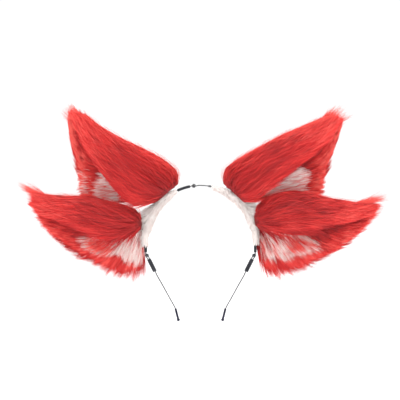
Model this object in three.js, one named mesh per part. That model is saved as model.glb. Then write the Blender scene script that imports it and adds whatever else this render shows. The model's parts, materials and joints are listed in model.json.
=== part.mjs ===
// Animal-ears headband: a folding wire band with four folded faux-fur ears.
//
// Millimetres. +X is the wearer's left as seen from the front (right in the front view),
// -Y faces the viewer, +Z is up. The origin is the underside of the band at its top centre,
// the point that rests on the head.
//
// The band is two quarter arcs of steel wire. They meet at a riveted eye hinge beside the top
// centre, where the band folds like a book. A leg hangs from each arc's lower end on a second
// riveted eye hinge. Each arc carries two ears, each one a leaf of long-pile fur folded
// lengthwise along its upper edge, so that its front flap stands clear of its back panel.

import * as THREE from 'three';
import { ParametricGeometry } from 'three/addons/geometries/ParametricGeometry.js';
import { mergeVertices } from 'three/addons/utils/BufferGeometryUtils.js';

// ---- driving dimensions -------------------------------------------------------------------

const WIRE_R = 0.65; // steel wire radius, used for the arcs and the legs
const HOOP_R = 65 + WIRE_R; // centreline radius of the band
const HOOP_Z = -65; // height of the band circle's centre
const GAP = 0.3; // clearance between neighbouring pieces

const EYE_R = 1.6; // centreline radius of a wire eye
const EYE_LIFT = 0.9; // half the distance between the two eyes on one rivet
const EYE_TURN = (240 / 180) * Math.PI; // how far a hooked eye goes round

const TOP_PIVOT_X = -8; // the top hinge sits beside the centre
const TOP_PIVOT_Z = Math.sqrt(HOOP_R ** 2 - TOP_PIVOT_X ** 2) + HOOP_Z;
const LEG_PIVOT = [64.3, -83.2]; // x (mirrored for the left leg) and z
const ARC_LOW_Z = -80; // where the arc's wire starts to bend into its lower eye
const LINK_START_X = -3; // where the right arc's wire leaves its top eye

const LEG_LEAN = Math.atan2(8, 16); // the leg sleeve's lean inwards from the vertical
const LEG_SLEEVE = [5.2, 21.6]; // where the leg's sleeve starts and ends, from the hinge
const LEG_KNEE = [30, -147]; // x, z where the leg turns into its tip
const LEG_END = [26.6, -160.4]; // x, z of the tip ball's centre

const TOP_SLEEVE = [12.6, 27.5]; // distances of the left sleeve's ends from the centre
const TOP_SLEEVE_R = 1.7;
const FERRULE = [9.6, 12.6]; // the same for the right arc's crimped ferrule
const FERRULE_R = 1.4;
const END_SLEEVE = [-69, -79.6]; // heights of the sleeve at the arc's lower end
const END_SLEEVE_R = 1.6;
const LEG_SLEEVE_R = 2.4;
const LEG_SLEEVE_HOLE = 1.85; // it holds the leg's doubled wire

const FUR_BAND_R = 4.2; // white plush wrapped round the arc
const EAR_DEPTH_FRONT = 13; // how far the flap stands in front of the ridge, at the base
const EAR_DEPTH_BACK = 12; // how far the back panel lies behind it
const HIDE = 2.6; // thickness of the red fur's backing with its dense underfur
const LINING_FROM = 4.4; // depth of the lining's outer face below the red surface
const LINING_TO = 6.6;
const TUFT_FROM = 7.0;
const TUFT_TO = 11.0;
const EAR_WIRE_R = 0.45;
const EAR_WIRE_DEPTH = 3.5; // the ear's shaping wire lies between fur and lining
const PAD_THICK = 1.6; // felt pad on the outside of the plush
const PAD_WIDE = 4;
const THREAD_R = 0.3;
const STITCH_R = 4.95; // a stitch is a loop round plush and pad, longer outwards
const STITCH_STRETCH = 1.26;
const STITCH_OUT = 1.25; // how far its middle lies outside the wire

// ---- materials ----------------------------------------------------------------------------

const material = (color, roughness, metalness = 0) =>
  new THREE.MeshStandardMaterial({ color, roughness, metalness });

const STEEL = material(0x9a9a9c, 0.32, 0.9);
const RUBBER = material(0x1e2026, 0.55);
const TIP_RUBBER = material(0x191a2c, 0.4);
const RED_FUR = material(0xdc4440, 0.85);
const RED_LINING = material(0xa82a2c, 0.9);
const WHITE_FUR = material(0xf1e8e2, 0.9);
const TUFT_FUR = material(0xdcc4be, 0.9);
const FELT = material(0x8f2426, 0.95);
const THREAD = material(0xb02a2e, 0.8);

// ---- geometry helpers ---------------------------------------------------------------------

const v3 = (x, y, z) => new THREE.Vector3(x, y, z);
const lerp = (a, b, t) => a + (b - a) * t;

// One closed body: shared corners merged, collapsed faces dropped, faces turned outwards.
function closed(geometry) {
  const bare = geometry.clone();
  bare.deleteAttribute('normal');
  bare.deleteAttribute('uv');
  const merged = mergeVertices(bare, 1e-4);
  const at = merged.getAttribute('position');
  const old = merged.getIndex().array;
  const index = [];
  let volume = 0;
  const [a, b, c] = [v3(), v3(), v3()];
  for (let i = 0; i < old.length; i += 3) {
    const [p, q, r] = [old[i], old[i + 1], old[i + 2]];
    if (p === q || q === r || r === p) continue;
    index.push(p, q, r);
    a.fromBufferAttribute(at, p);
    b.fromBufferAttribute(at, q);
    c.fromBufferAttribute(at, r);
    volume += a.dot(b.cross(c));
  }
  if (volume < 0) index.reverse();
  merged.setIndex(index);
  merged.computeVertexNormals();
  return merged;
}

function circleShape(radius, hole = 0, sides = 8) {
  const ring = (r) =>
    Array.from({ length: sides }, (_, i) => {
      const turn = (i / sides) * 2 * Math.PI;
      return new THREE.Vector2(r * Math.cos(turn), r * Math.sin(turn));
    });
  const shape = new THREE.Shape(ring(radius));
  if (hole > 0) shape.holes.push(new THREE.Path(ring(hole)));
  return shape;
}

// A round rod, or a tube when it has a hole, along a smooth curve through the points.
function along(points, radius, steps, hole = 0, sides = 8) {
  const path = new THREE.CatmullRomCurve3(points, false, 'centripetal');
  const shape = circleShape(radius, hole, sides);
  const options = { steps, extrudePath: path, bevelEnabled: false, curveSegments: 1 };
  return closed(new THREE.ExtrudeGeometry(shape, options));
}

function lathe(profile, segments = 12) {
  return closed(
    new THREE.LatheGeometry(profile.map(([r, h]) => new THREE.Vector2(r, h)), segments),
  );
}

const group = new THREE.Group();

function add(name, geometry, surface) {
  const mesh = new THREE.Mesh(geometry, surface);
  mesh.name = name;
  group.add(mesh);
  return mesh;
}

// ---- the band's centreline ----------------------------------------------------------------

// A point of the band on one side (-1 left, 1 right), at an angle from the top.
function hoop(side, angle, out = 0) {
  const r = HOOP_R + out;
  return v3(side * r * Math.sin(angle), 0, HOOP_Z + r * Math.cos(angle));
}

const angleAtX = (x) => Math.asin(x / HOOP_R);

function hoopPoints(side, from, to, count) {
  return Array.from({ length: count }, (_, i) => hoop(side, lerp(from, to, i / (count - 1))));
}

// A hooked eye round a pivot, in the plane of the two unit vectors across and up, ending at
// the pivot's "up" side and running on along -across.
function eyePoints(pivot, across, up, count = 12) {
  return Array.from({ length: count + 1 }, (_, i) => {
    const turn = Math.PI / 2 - EYE_TURN * (1 - i / count);
    return pivot
      .clone()
      .addScaledVector(across, EYE_R * Math.cos(turn))
      .addScaledVector(up, EYE_R * Math.sin(turn));
  });
}

// ---- the two arcs -------------------------------------------------------------------------

// Each arc runs from its eye on the top rivet, round a quarter circle, down to its leg eye.
function arcWire(side) {
  const lift = side < 0 ? EYE_LIFT : -EYE_LIFT;
  const pivot = v3(TOP_PIVOT_X, 0, TOP_PIVOT_Z + lift);
  const top = eyePoints(pivot, v3(-side, 0, 0), v3(0, -side, 0));
  const first = side < 0 ? angleAtX(TOP_SLEEVE[0] - 0.4) : angleAtX(LINK_START_X);
  const curve = hoopPoints(side, first, Math.PI / 2, 18);
  const low = v3(side * LEG_PIVOT[0], EYE_LIFT, LEG_PIVOT[1]);
  const eye = eyePoints(low, v3(0, 0, -1), v3(side, 0, 0)).reverse();
  const straight = [v3(side * HOOP_R, 0, END_SLEEVE[0]), v3(side * HOOP_R, 0, ARC_LOW_Z)];
  return along([...top, ...curve, ...straight, ...eye], WIRE_R, 66, 0, 6);
}

// A rivet with a head at each end, standing along its own Y.
function rivet() {
  const half = EYE_LIFT + WIRE_R + GAP;
  const [shaft, head, thick] = [0.65, 1.9, 0.6];
  const profile = [
    [0, -half - thick],
    [head * 0.7, -half - thick],
    [head, -half - thick / 3],
    [head, -half],
    [shaft, -half],
    [shaft, half],
    [head, half],
    [head, half + thick / 3],
    [head * 0.7, half + thick],
    [0, half + thick],
  ];
  return lathe(profile, 10);
}

add('left_arc_wire', arcWire(-1), STEEL);
add('right_arc_wire', arcWire(1), STEEL);

const topRivet = add('top_hinge_rivet', rivet(), STEEL);
topRivet.rotation.x = Math.PI / 2;
topRivet.position.set(TOP_PIVOT_X, 0, TOP_PIVOT_Z);

// Black rubber sleeve on the left arc beside the hinge, a crimped ferrule on the right one.
const SLEEVE_HOLE = WIRE_R + GAP;
const topSleeve = hoopPoints(-1, angleAtX(TOP_SLEEVE[0]), angleAtX(TOP_SLEEVE[1]), 5);
add('left_top_sleeve', along(topSleeve, TOP_SLEEVE_R, 6, SLEEVE_HOLE, 10), RUBBER);
const ferrule = hoopPoints(1, angleAtX(FERRULE[0]), angleAtX(FERRULE[1]), 3);
add('top_ferrule', along(ferrule, FERRULE_R, 1, SLEEVE_HOLE, 10), STEEL);

// ---- white plush wrap round each arc ------------------------------------------------------

// A tube with a tapering outside and a bore for the wire: out along its skin, back along
// its bore.
function wrap(side, fromX, toZ, grow) {
  const first = angleAtX(fromX);
  const quarter = (Math.PI / 2 - first) * HOOP_R;
  const straight = HOOP_Z - toZ;
  const total = quarter + straight;
  const place = (t) => {
    const run = t * total;
    if (run <= quarter) return [hoop(side, first + run / HOOP_R), first + run / HOOP_R];
    return [v3(side * HOOP_R, 0, HOOP_Z - (run - quarter)), Math.PI / 2];
  };
  const stations = 15;
  const skin = (around, loop, target) => {
    const step = Math.round(loop * 2 * stations) % (2 * stations);
    const outside = step < stations;
    const t = (outside ? step : 2 * stations - 1 - step) / (stations - 1);
    const [centre, angle] = place(t);
    const swell = Math.min(1, 0.45 + grow * t, 0.45 + 9 * (1 - t));
    const r = outside ? FUR_BAND_R * swell : SLEEVE_HOLE;
    const turn = around * 2 * Math.PI;
    const out = r * Math.cos(turn);
    target.set(
      centre.x + side * out * Math.sin(angle),
      centre.y + r * Math.sin(turn),
      centre.z + out * Math.cos(angle),
    );
  };
  return closed(new ParametricGeometry(skin, 8, 2 * stations));
}

const WRAP_END_Z = END_SLEEVE[0] + 1;
add('left_band_plush', wrap(-1, TOP_SLEEVE[1] + 0.8, WRAP_END_Z, 7), WHITE_FUR);
add('right_band_plush', wrap(1, FERRULE[1] + 0.8, WRAP_END_Z, 3.4), WHITE_FUR);

// ---- sleeves, legs and tips ---------------------------------------------------------------

// A straight tube or rod, its lathe profile standing on the first point.
function stand(mesh, from, to) {
  const way = to.clone().sub(from).normalize();
  mesh.quaternion.setFromUnitVectors(v3(0, 1, 0), way);
  mesh.position.copy(from);
}

function tube(length, radius, hole, round = 0.4) {
  return lathe([
    [hole, 0],
    [radius - round, 0],
    [radius, round],
    [radius, length - round],
    [radius - round, length],
    [hole, length],
    [hole, 0],
  ]);
}

function tipGeometry(length) {
  const [ball, neck, hole, depth] = [1.9, 1.35, SLEEVE_HOLE, length - 3];
  const arc = Array.from({ length: 7 }, (_, i) => {
    const turn = lerp(-0.87, Math.PI / 2, i / 6);
    return [ball * Math.cos(turn), length + ball * Math.sin(turn)];
  });
  arc[6] = [0, length + ball];
  return lathe([
    [0, depth],
    [hole, depth],
    [hole, 0],
    [neck - 0.2, 0],
    [neck, 0.3],
    [neck, length - ball * 0.95],
    ...arc,
  ]);
}

for (const [side, name] of [[-1, 'left'], [1, 'right']]) {
  const pivot = v3(side * LEG_PIVOT[0], 0, LEG_PIVOT[1]);
  const down = v3(-side * Math.sin(LEG_LEAN), 0, -Math.cos(LEG_LEAN));
  const across = v3(side * Math.cos(LEG_LEAN), 0, -Math.sin(LEG_LEAN));
  const [first, last] = LEG_SLEEVE;
  const at = (run, off = 0, y = 0) =>
    pivot.clone().addScaledVector(down, run).addScaledVector(across, off).add(v3(0, y, 0));

  const endTube = tube(END_SLEEVE[0] - END_SLEEVE[1], END_SLEEVE_R, SLEEVE_HOLE);
  const endSleeve = add(name + '_end_sleeve', endTube, RUBBER);
  stand(endSleeve, v3(side * HOOP_R, 0, END_SLEEVE[0]), v3(side * HOOP_R, 0, END_SLEEVE[1]));

  const pin = add(name + '_hinge_rivet', rivet(), STEEL);
  pin.position.copy(pivot);

  // The leg's wire: a doubled end inside the sleeve, a teardrop eye, then down to the tip.
  const tail = WIRE_R + GAP / 2 + 0.05;
  const eye = Array.from({ length: 9 }, (_, i) => {
    const turn = lerp(-0.35, Math.PI + 0.35, i / 8);
    return at(-EYE_R * Math.sin(turn), EYE_R * Math.cos(turn), -EYE_LIFT);
  });
  const knee = v3(side * LEG_KNEE[0], 0, LEG_KNEE[1]);
  const end = v3(side * LEG_END[0], 0, LEG_END[1]);
  const toEnd = end.clone().sub(knee);
  const onTip = (k) => knee.clone().addScaledVector(toEnd, k);
  const onShin = (k) => at(last).lerp(knee, k);
  const wirePath = [
    at(first + 9, tail),
    at(first + 4, tail, -0.2),
    at(first - 0.4, tail + 0.1, -EYE_LIFT * 0.8),
    ...eye,
    at(first - 0.4, -tail - 0.1, -EYE_LIFT * 0.8),
    at(first + 4, -tail, -0.2),
    at(last - 3, -tail),
    onShin(0.06),
    onShin(0.35),
    onShin(0.7),
    onShin(0.97),
    onTip(0.1),
    onTip(0.4),
    onTip(0.72),
  ];
  add(name + '_leg_wire', along(wirePath, WIRE_R, 62, 0, 6), STEEL);

  const legTube = tube(last - first, LEG_SLEEVE_R, LEG_SLEEVE_HOLE, 0.5);
  const sleeve = add(name + '_leg_sleeve', legTube, RUBBER);
  stand(sleeve, at(first), at(last));

  const tip = add(name + '_leg_tip', tipGeometry(toEnd.length()), TIP_RUBBER);
  stand(tip, knee, end);
}

// ---- the ears -----------------------------------------------------------------------------

// Each ear is lofted through three curves in the front view, from its base to its tip:
// the fold ridge, the front flap's free edge and the back panel's rim. Points are x, z.
const EARS = [
  {
    name: 'left_upper_ear',
    side: -1,
    y: 4,
    tip: [-154, 88],
    ridge: [[-26, 5], [-31, 18], [-46, 31], [-71, 44.5], [-97, 57], [-121, 70.5], [-141, 85]],
    flap: [[-52, -19], [-68, -21], [-84, -17], [-98, -2], [-114, 15], [-132, 39], [-146, 65]],
    rim: [[-55, -21], [-84, -19], [-112, -18], [-135, -10], [-144, 18], [-154, 46], [-159, 70]],
    tuft: [0.2, 0.48],
    pad: [26, 44],
  },
  {
    name: 'left_lower_ear',
    side: -1,
    y: -6,
    tip: [-205, -9],
    ridge: [[-75, -33], [-88, -27], [-110, -20], [-134, -15], [-158, -13.5], [-184, -12.5]],
    flap: [[-71, -52], [-85, -57], [-102, -60], [-122, -56], [-148, -45], [-172, -37.5],
      [-191, -30]],
    rim: [[-68, -77], [-84, -83], [-106, -83], [-130, -79], [-152, -69], [-176, -52], [-196, -29]],
    tuft: [0.12, 0.6],
    pad: [68, 86],
  },
  {
    name: 'right_upper_ear',
    side: 1,
    y: 4,
    tip: [166, 86],
    ridge: [[27, 5], [32, 19], [46, 31], [69, 44.5], [93, 57.5], [120, 69.5], [144, 79.5]],
    flap: [[52, -20], [66, -14], [81, 0], [101, 17], [123, 33], [144, 51], [160, 68]],
    rim: [[55, -22], [84, -15], [114, -14], [137, -10], [147, 16], [159, 42], [168, 68]],
    tuft: [0.14, 0.5],
    pad: [26, 44],
  },
  {
    name: 'right_lower_ear',
    side: 1,
    y: -6,
    tip: [208, -27],
    ridge: [[71, -27], [86, -15], [108, -8.5], [130, -9.5], [156, -16.5], [184, -22.5]],
    flap: [[66, -48], [78, -52], [98, -53], [122, -50], [146, -45.5], [170, -41], [190, -37]],
    rim: [[68, -77], [86, -84], [110, -85], [134, -81], [158, -71], [181, -57], [198, -42]],
    tuft: [0.12, 0.6],
    pad: [64, 86],
  },
];

const planCurve = (points, tip) =>
  new THREE.CatmullRomCurve3([...points, tip].map(([x, z]) => v3(x, 0, z)), false, 'centripetal');

// The ear's folded surface. s runs from -1 at the rim, over the ridge at 0, to 1 at the flap's
// free edge, and t from the base to the tip. depth is the distance below the outer surface.
function earSurface(ear) {
  const ridge = planCurve(ear.ridge, ear.tip);
  const flap = planCurve(ear.flap, ear.tip);
  const rim = planCurve(ear.rim, ear.tip);
  return (s, t, depth) => {
    const top = ridge.getPoint(t);
    const front = flap.getPoint(t);
    const back = rim.getPoint(t);
    const close = 1 - t ** 3;
    const swell = Math.sin(Math.PI * t);
    const inset = depth * close;
    const inward = front.clone().add(back).multiplyScalar(0.5).sub(top);
    if (inward.lengthSq() > 0) inward.normalize();
    top.addScaledVector(inward, inset);
    const half = s > 0
      ? (EAR_DEPTH_FRONT + 4 * swell) * close - inset
      : (EAR_DEPTH_BACK + 2 * swell) * close - inset;
    const turn = (s * Math.PI) / 2;
    const edge = s > 0 ? front : back;
    const point = top.lerp(edge, 1 - Math.cos(turn));
    point.y = ear.y * Math.sin(Math.min(1, 3 * t) * Math.PI / 2) - half * Math.sin(turn);
    return point;
  };
}

// A closed layer of the ear between two depths, over a stretch of s and of t. The first and
// last stations close on the middle of the layer, which makes its end faces.
function layer(surface, [from, to], [s0, s1], [t0, t1], across, stations) {
  const loop = 2 * (across + 1);
  const middle = (from + to) / 2;
  const skin = (around, run, target) => {
    const step = Math.round(around * loop) % loop;
    const outside = step <= across;
    const k = (outside ? step : loop - 1 - step) / across;
    const row = Math.round(run * (stations + 2));
    const end = row === 0 || row === stations + 2;
    const t = lerp(t0, t1, Math.min(Math.max(row - 1, 0), stations) / stations);
    const depth = outside ? from : to;
    target.copy(surface(lerp(s0, s1, k), t, end ? middle : depth));
  };
  return closed(new ParametricGeometry(skin, loop, stations + 2));
}

for (const ear of EARS) {
  const surface = earSurface(ear);
  const part = (piece, geometry, look) => add(ear.name + '_' + piece, geometry, look);

  part('fur', layer(surface, [0, HIDE], [-1, 1], [0, 1], 12, 13), RED_FUR);
  part('lining', layer(surface, [LINING_FROM, LINING_TO], [-0.97, 0.97], [0.02, 0.93], 10, 11),
    RED_LINING);
  part('tuft', layer(surface, [TUFT_FROM, TUFT_TO], [-0.93, -0.5], ear.tuft, 4, 6), TUFT_FUR);

  const wireRuns = Array.from({ length: 12 }, (_, i) => lerp(0.06, 0.7, i / 11));
  const wirePath = wireRuns.map((t) => surface(0, t, EAR_WIRE_DEPTH));
  part('wire', along(wirePath, EAR_WIRE_R, 12, 0, 5), STEEL);

  // A felt pad along the outside of the band, and two stitches round the band and the pad.
  const [first, last] = ear.pad.map((degrees) => THREE.MathUtils.degToRad(degrees));
  const inner = HOOP_R + FUR_BAND_R + GAP;
  const outer = inner + PAD_THICK;
  const toShape = (angle) => Math.PI / 2 - ear.side * angle;
  const sector = new THREE.Shape();
  sector.absarc(0, 0, outer, toShape(first), toShape(last), ear.side > 0);
  sector.absarc(0, 0, inner, toShape(last), toShape(first), ear.side < 0);
  const options = { depth: PAD_WIDE, bevelEnabled: false, curveSegments: 8 };
  const pad = new THREE.ExtrudeGeometry(sector, options);
  const padMesh = part('pad', closed(pad), FELT);
  padMesh.rotation.x = Math.PI / 2;
  padMesh.position.set(0, PAD_WIDE / 2, HOOP_Z);

  ['a', 'b'].forEach((letter, i) => {
    const angle = lerp(first, last, 0.25 + 0.45 * i);
    const loop = new THREE.TorusGeometry(STITCH_R, THREAD_R, 5, 14);
    const stitch = part('stitch_' + letter, closed(loop), THREAD);
    stitch.scale.set(1, STITCH_STRETCH, 1);
    stitch.position.copy(hoop(ear.side, angle, STITCH_OUT));
    const radial = hoop(ear.side, angle, 1).sub(hoop(ear.side, angle));
    const frontBack = v3(0, 1, 0);
    const basis = new THREE.Matrix4().makeBasis(
      frontBack,
      radial,
      frontBack.clone().cross(radial),
    );
    stitch.setRotationFromMatrix(basis);
  });
}

export default group;
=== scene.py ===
"""Animal-ears headband: the looks. Sizes are in millimetres until mesh() makes them metres. The
camera, lights, floor, materials and the leaves' flat sizes are in metres."""
import json
import math

import bmesh
import bpy
import numpy as np
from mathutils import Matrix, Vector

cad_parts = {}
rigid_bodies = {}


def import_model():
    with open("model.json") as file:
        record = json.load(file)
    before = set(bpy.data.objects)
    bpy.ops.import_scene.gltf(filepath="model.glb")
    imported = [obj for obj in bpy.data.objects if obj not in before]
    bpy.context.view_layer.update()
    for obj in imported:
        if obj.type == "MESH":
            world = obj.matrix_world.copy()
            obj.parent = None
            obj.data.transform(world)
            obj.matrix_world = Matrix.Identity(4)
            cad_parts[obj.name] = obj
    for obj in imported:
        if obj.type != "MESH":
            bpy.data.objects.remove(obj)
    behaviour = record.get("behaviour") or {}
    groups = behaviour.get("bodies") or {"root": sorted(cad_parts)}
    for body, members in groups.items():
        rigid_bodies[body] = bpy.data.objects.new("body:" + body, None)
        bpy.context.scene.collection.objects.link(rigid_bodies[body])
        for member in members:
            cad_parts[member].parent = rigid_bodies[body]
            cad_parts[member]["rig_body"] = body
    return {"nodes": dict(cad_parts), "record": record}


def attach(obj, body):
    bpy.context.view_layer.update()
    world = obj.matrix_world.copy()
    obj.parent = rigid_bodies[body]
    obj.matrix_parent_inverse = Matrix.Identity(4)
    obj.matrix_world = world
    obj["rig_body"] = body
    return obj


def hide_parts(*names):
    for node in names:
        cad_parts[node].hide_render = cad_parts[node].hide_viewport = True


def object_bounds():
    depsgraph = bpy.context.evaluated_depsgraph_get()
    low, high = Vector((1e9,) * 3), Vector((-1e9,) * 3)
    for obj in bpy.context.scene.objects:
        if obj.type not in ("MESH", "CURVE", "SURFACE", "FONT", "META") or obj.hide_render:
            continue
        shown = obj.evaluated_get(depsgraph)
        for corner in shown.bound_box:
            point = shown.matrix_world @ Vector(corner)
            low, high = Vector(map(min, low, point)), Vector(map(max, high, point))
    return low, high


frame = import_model()
cad_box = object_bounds()
rng = np.random.default_rng(seed=20)
norm = np.linalg.norm
MM = 0.001

# ---- camera, lights and floor ----

PICTURE_WIDTH = 0.480  # metres of the object's plane that the picture spans
PICTURE_CENTRE = (-0.0006, -0.0168)  # x and z at the picture's centre
LENS, SENSOR = 85.0, 36.0
SURROUND_SEEN, SURROUND_LIGHT = 1.05, 0.75  # its strength in the picture, and on the object
SOFT_BOXES = {  # place, aim, size and watts
    "top_box": ((0.0, -0.25, 1.25), (0, 0, 0), 1.1, 16),
    "left_box": ((-1.1, -0.5, 0.5), (-0.1, 0, 0), 0.9, 7),
    "right_box": ((1.1, -0.5, 0.5), (0.1, 0, 0), 0.9, 7),
}
FLOOR_BELOW, FLOOR_HALF, FLOOR_GLOW = 0.14, 8.0, 0.5


def shown(name, data):
    """A new object in the scene."""
    made = bpy.data.objects.new(name, data)
    bpy.context.scene.collection.objects.link(made)
    return made


def camera():
    data = bpy.data.cameras.new("camera")
    data.lens, data.sensor_width = LENS, SENSOR
    data.clip_start, data.clip_end = 0.05, 50
    cam = shown("camera", data)
    cam.location = (PICTURE_CENTRE[0], -PICTURE_WIDTH * LENS / SENSOR, PICTURE_CENTRE[1])
    cam.rotation_euler = (math.radians(90), 0, 0)
    bpy.context.scene.camera = cam


def studio():
    """A white surround that shows as white, a softer ambient light, and soft boxes."""
    scene = bpy.context.scene
    scene.view_settings.view_transform = "Standard"
    world = bpy.data.worlds.new("surround")
    scene.world = world
    world.use_nodes = True
    nodes, links = world.node_tree.nodes, world.node_tree.links
    nodes.clear()
    seen, ambient = nodes.new("ShaderNodeBackground"), nodes.new("ShaderNodeBackground")
    for node, strength in ((seen, SURROUND_SEEN), (ambient, SURROUND_LIGHT)):
        node.inputs["Strength"].default_value = strength
        node.inputs["Color"].default_value = (1, 1, 1, 1)
    path, mix = nodes.new("ShaderNodeLightPath"), nodes.new("ShaderNodeMixShader")
    out = nodes.new("ShaderNodeOutputWorld")
    links.new(path.outputs["Is Camera Ray"], mix.inputs[0])
    links.new(ambient.outputs[0], mix.inputs[1])
    links.new(seen.outputs[0], mix.inputs[2])
    links.new(mix.outputs[0], out.inputs["Surface"])
    for name, (place, aim, size, watts) in SOFT_BOXES.items():
        data = bpy.data.lights.new(name, "AREA")
        data.energy, data.size = watts, size
        lamp = shown(name, data)
        lamp.location = place
        way = Vector(aim) - Vector(place)
        lamp.rotation_euler = way.to_track_quat("-Z", "Y").to_euler()


def floor():
    """A plain pale floor under the held-up headband, bright enough to run into the surround."""
    low, half = cad_box[0].z - FLOOR_BELOW, FLOOR_HALF
    corners = [(-half, -half, low), (half, -half, low), (half, half, low), (-half, half, low)]
    data = bpy.data.meshes.new("floor")
    data.from_pydata(corners, [], [(0, 1, 2, 3)])
    ground = shown("floor", data)
    mat, _, shader = material("pale_floor", (0.93, 0.93, 0.93), 0.8)
    shader.inputs["Emission Color"].default_value = (1, 1, 1, 1)
    shader.inputs["Emission Strength"].default_value = FLOOR_GLOW
    data.materials.append(mat)


# ---- materials ----


def material(name, colour, roughness, metallic=0.0):
    mat = bpy.data.materials.new(name)
    mat.use_nodes = True
    tree = mat.node_tree
    shader = tree.nodes["Principled BSDF"]
    shader.inputs["Base Color"].default_value = (*colour, 1)
    shader.inputs["Roughness"].default_value = roughness
    shader.inputs["Metallic"].default_value = metallic
    return mat, tree, shader


def ramp(tree, fac, stops):
    """A colour ramp fed by fac, from (position, colour) stops."""
    node = tree.nodes.new("ShaderNodeValToRGB")
    marks = node.color_ramp.elements
    while len(marks) < len(stops):
        marks.new(0.5)
    for mark, (place, colour) in zip(marks, stops):
        mark.position, mark.color = place, (*colour, 1)
    tree.links.new(fac, node.inputs["Fac"])
    return node.outputs["Color"]


MIX_A, MIX_B, MIX_RESULT = 6, 7, 2  # the Mix node's colour sockets


def multiplied(tree, a, b):
    node = tree.nodes.new("ShaderNodeMix")
    node.data_type, node.blend_type = "RGBA", "MULTIPLY"
    node.inputs["Factor"].default_value = 1.0
    tree.links.new(a, node.inputs[MIX_A])
    tree.links.new(b, node.inputs[MIX_B])
    return node.outputs[MIX_RESULT]


def noise(tree, scale, detail, stretch=(1, 1, 1)):
    """Noise over the piece's own space, in metres; stretch squeezes it along each axis."""
    place, shift = tree.nodes.new("ShaderNodeTexCoord"), tree.nodes.new("ShaderNodeMapping")
    shift.inputs["Scale"].default_value = stretch
    node = tree.nodes.new("ShaderNodeTexNoise")
    node.inputs["Scale"].default_value = scale
    node.inputs["Detail"].default_value = detail
    tree.links.new(place.outputs["Object"], shift.inputs["Vector"])
    tree.links.new(shift.outputs[0], node.inputs["Vector"])
    return node.outputs["Fac"]


def bump(tree, shader, height, strength, distance):
    node = tree.nodes.new("ShaderNodeBump")
    node.inputs["Strength"].default_value = strength
    node.inputs["Distance"].default_value = distance
    tree.links.new(height, node.inputs["Height"])
    tree.links.new(node.outputs[0], shader.inputs["Normal"])


STRAND_UV = "OFBake"  # u is a strand's tone, v runs from its root to its tip


def pile_material(name, tones, roots):
    """Fur strands: tone by strand, with painted shade that darkens the roots, so that the tips are
    paler.
    """
    mat, tree, shader = material(name, tones[len(tones) // 2][1], 0.5)
    uv, split = tree.nodes.new("ShaderNodeUVMap"), tree.nodes.new("ShaderNodeSeparateXYZ")
    uv.uv_map = STRAND_UV
    tree.links.new(uv.outputs[0], split.inputs[0])
    tone = ramp(tree, split.outputs["X"], tones)
    # painted shade along the strand, darkest at its root
    shade = ramp(tree, split.outputs["Y"], roots)
    colour = multiplied(tree, tone, shade)
    tree.links.new(colour, shader.inputs["Base Color"])
    shader.inputs["Specular IOR Level"].default_value = 0.35
    shader.inputs["Sheen Weight"].default_value = 0.1
    shader.inputs["Sheen Roughness"].default_value = 0.4
    return mat


def hide_material(name, dark, light):
    """Dense underfur seen between the strands: short streaks over a mottled ground, in dark
    colours that are painted shade for the depth of the pile.
    """
    mat, tree, shader = material(name, light, 0.9)
    streaks = noise(tree, scale=260, detail=6.0, stretch=(0.35, 1, 0.35))
    patches = noise(tree, scale=45, detail=3.0)
    base = ramp(tree, streaks, [(0.35, dark), (0.7, light)])
    shade = ramp(tree, patches, [(0.3, (0.7, 0.7, 0.7)), (0.7, (1, 1, 1))])
    tree.links.new(multiplied(tree, base, shade), shader.inputs["Base Color"])
    bump(tree, shader, streaks, strength=0.6, distance=0.001)
    return mat


def steel_material():
    """Drawn wire: dark, lightly stained, with fine lines along it."""
    mat, tree, shader = material("drawn_steel", (0.3, 0.3, 0.31), 0.3, metallic=1.0)
    lines = noise(tree, scale=900, detail=3.0, stretch=(1, 1, 0.08))
    stains = noise(tree, scale=120, detail=5.0)
    colour = ramp(tree, stains, [(0.3, (0.05, 0.05, 0.055)), (0.65, (0.12, 0.12, 0.125))])
    tree.links.new(colour, shader.inputs["Base Color"])
    rough = ramp(tree, lines, [(0.3, (0.28, 0.28, 0.28)), (0.7, (0.46, 0.46, 0.46))])
    tree.links.new(rough, shader.inputs["Roughness"])
    bump(tree, shader, lines, strength=0.15, distance=0.0001)
    return mat


def rubber_material(name, dark, light, roughness):
    """Fine-grained rubber, paler and duller where dust lies."""
    mat, tree, shader = material(name, dark, roughness)
    shader.inputs["Specular IOR Level"].default_value = 0.25
    grain = noise(tree, scale=1400, detail=5.0)
    dust = noise(tree, scale=160, detail=6.0)
    colour = ramp(tree, dust, [(0.4, dark), (0.75, light)])
    tree.links.new(colour, shader.inputs["Base Color"])
    low, high = roughness - 0.08, roughness + 0.14
    rough = ramp(tree, dust, [(0.3, (low, low, low)), (0.7, (high, high, high))])
    tree.links.new(rough, shader.inputs["Roughness"])
    bump(tree, shader, grain, strength=0.25, distance=0.0002)
    return mat


def cloth_material(name, dark, light, scale):
    """Felt, thread or the plush's backing; scale is that of its fibres."""
    mat, tree, shader = material(name, light, 0.95)
    fibres = noise(tree, scale, detail=8.0)
    colour = ramp(tree, fibres, [(0.35, dark), (0.65, light)])
    tree.links.new(colour, shader.inputs["Base Color"])
    shader.inputs["Sheen Weight"].default_value = 0.4
    bump(tree, shader, fibres, strength=0.7, distance=0.0004)
    return mat


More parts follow.
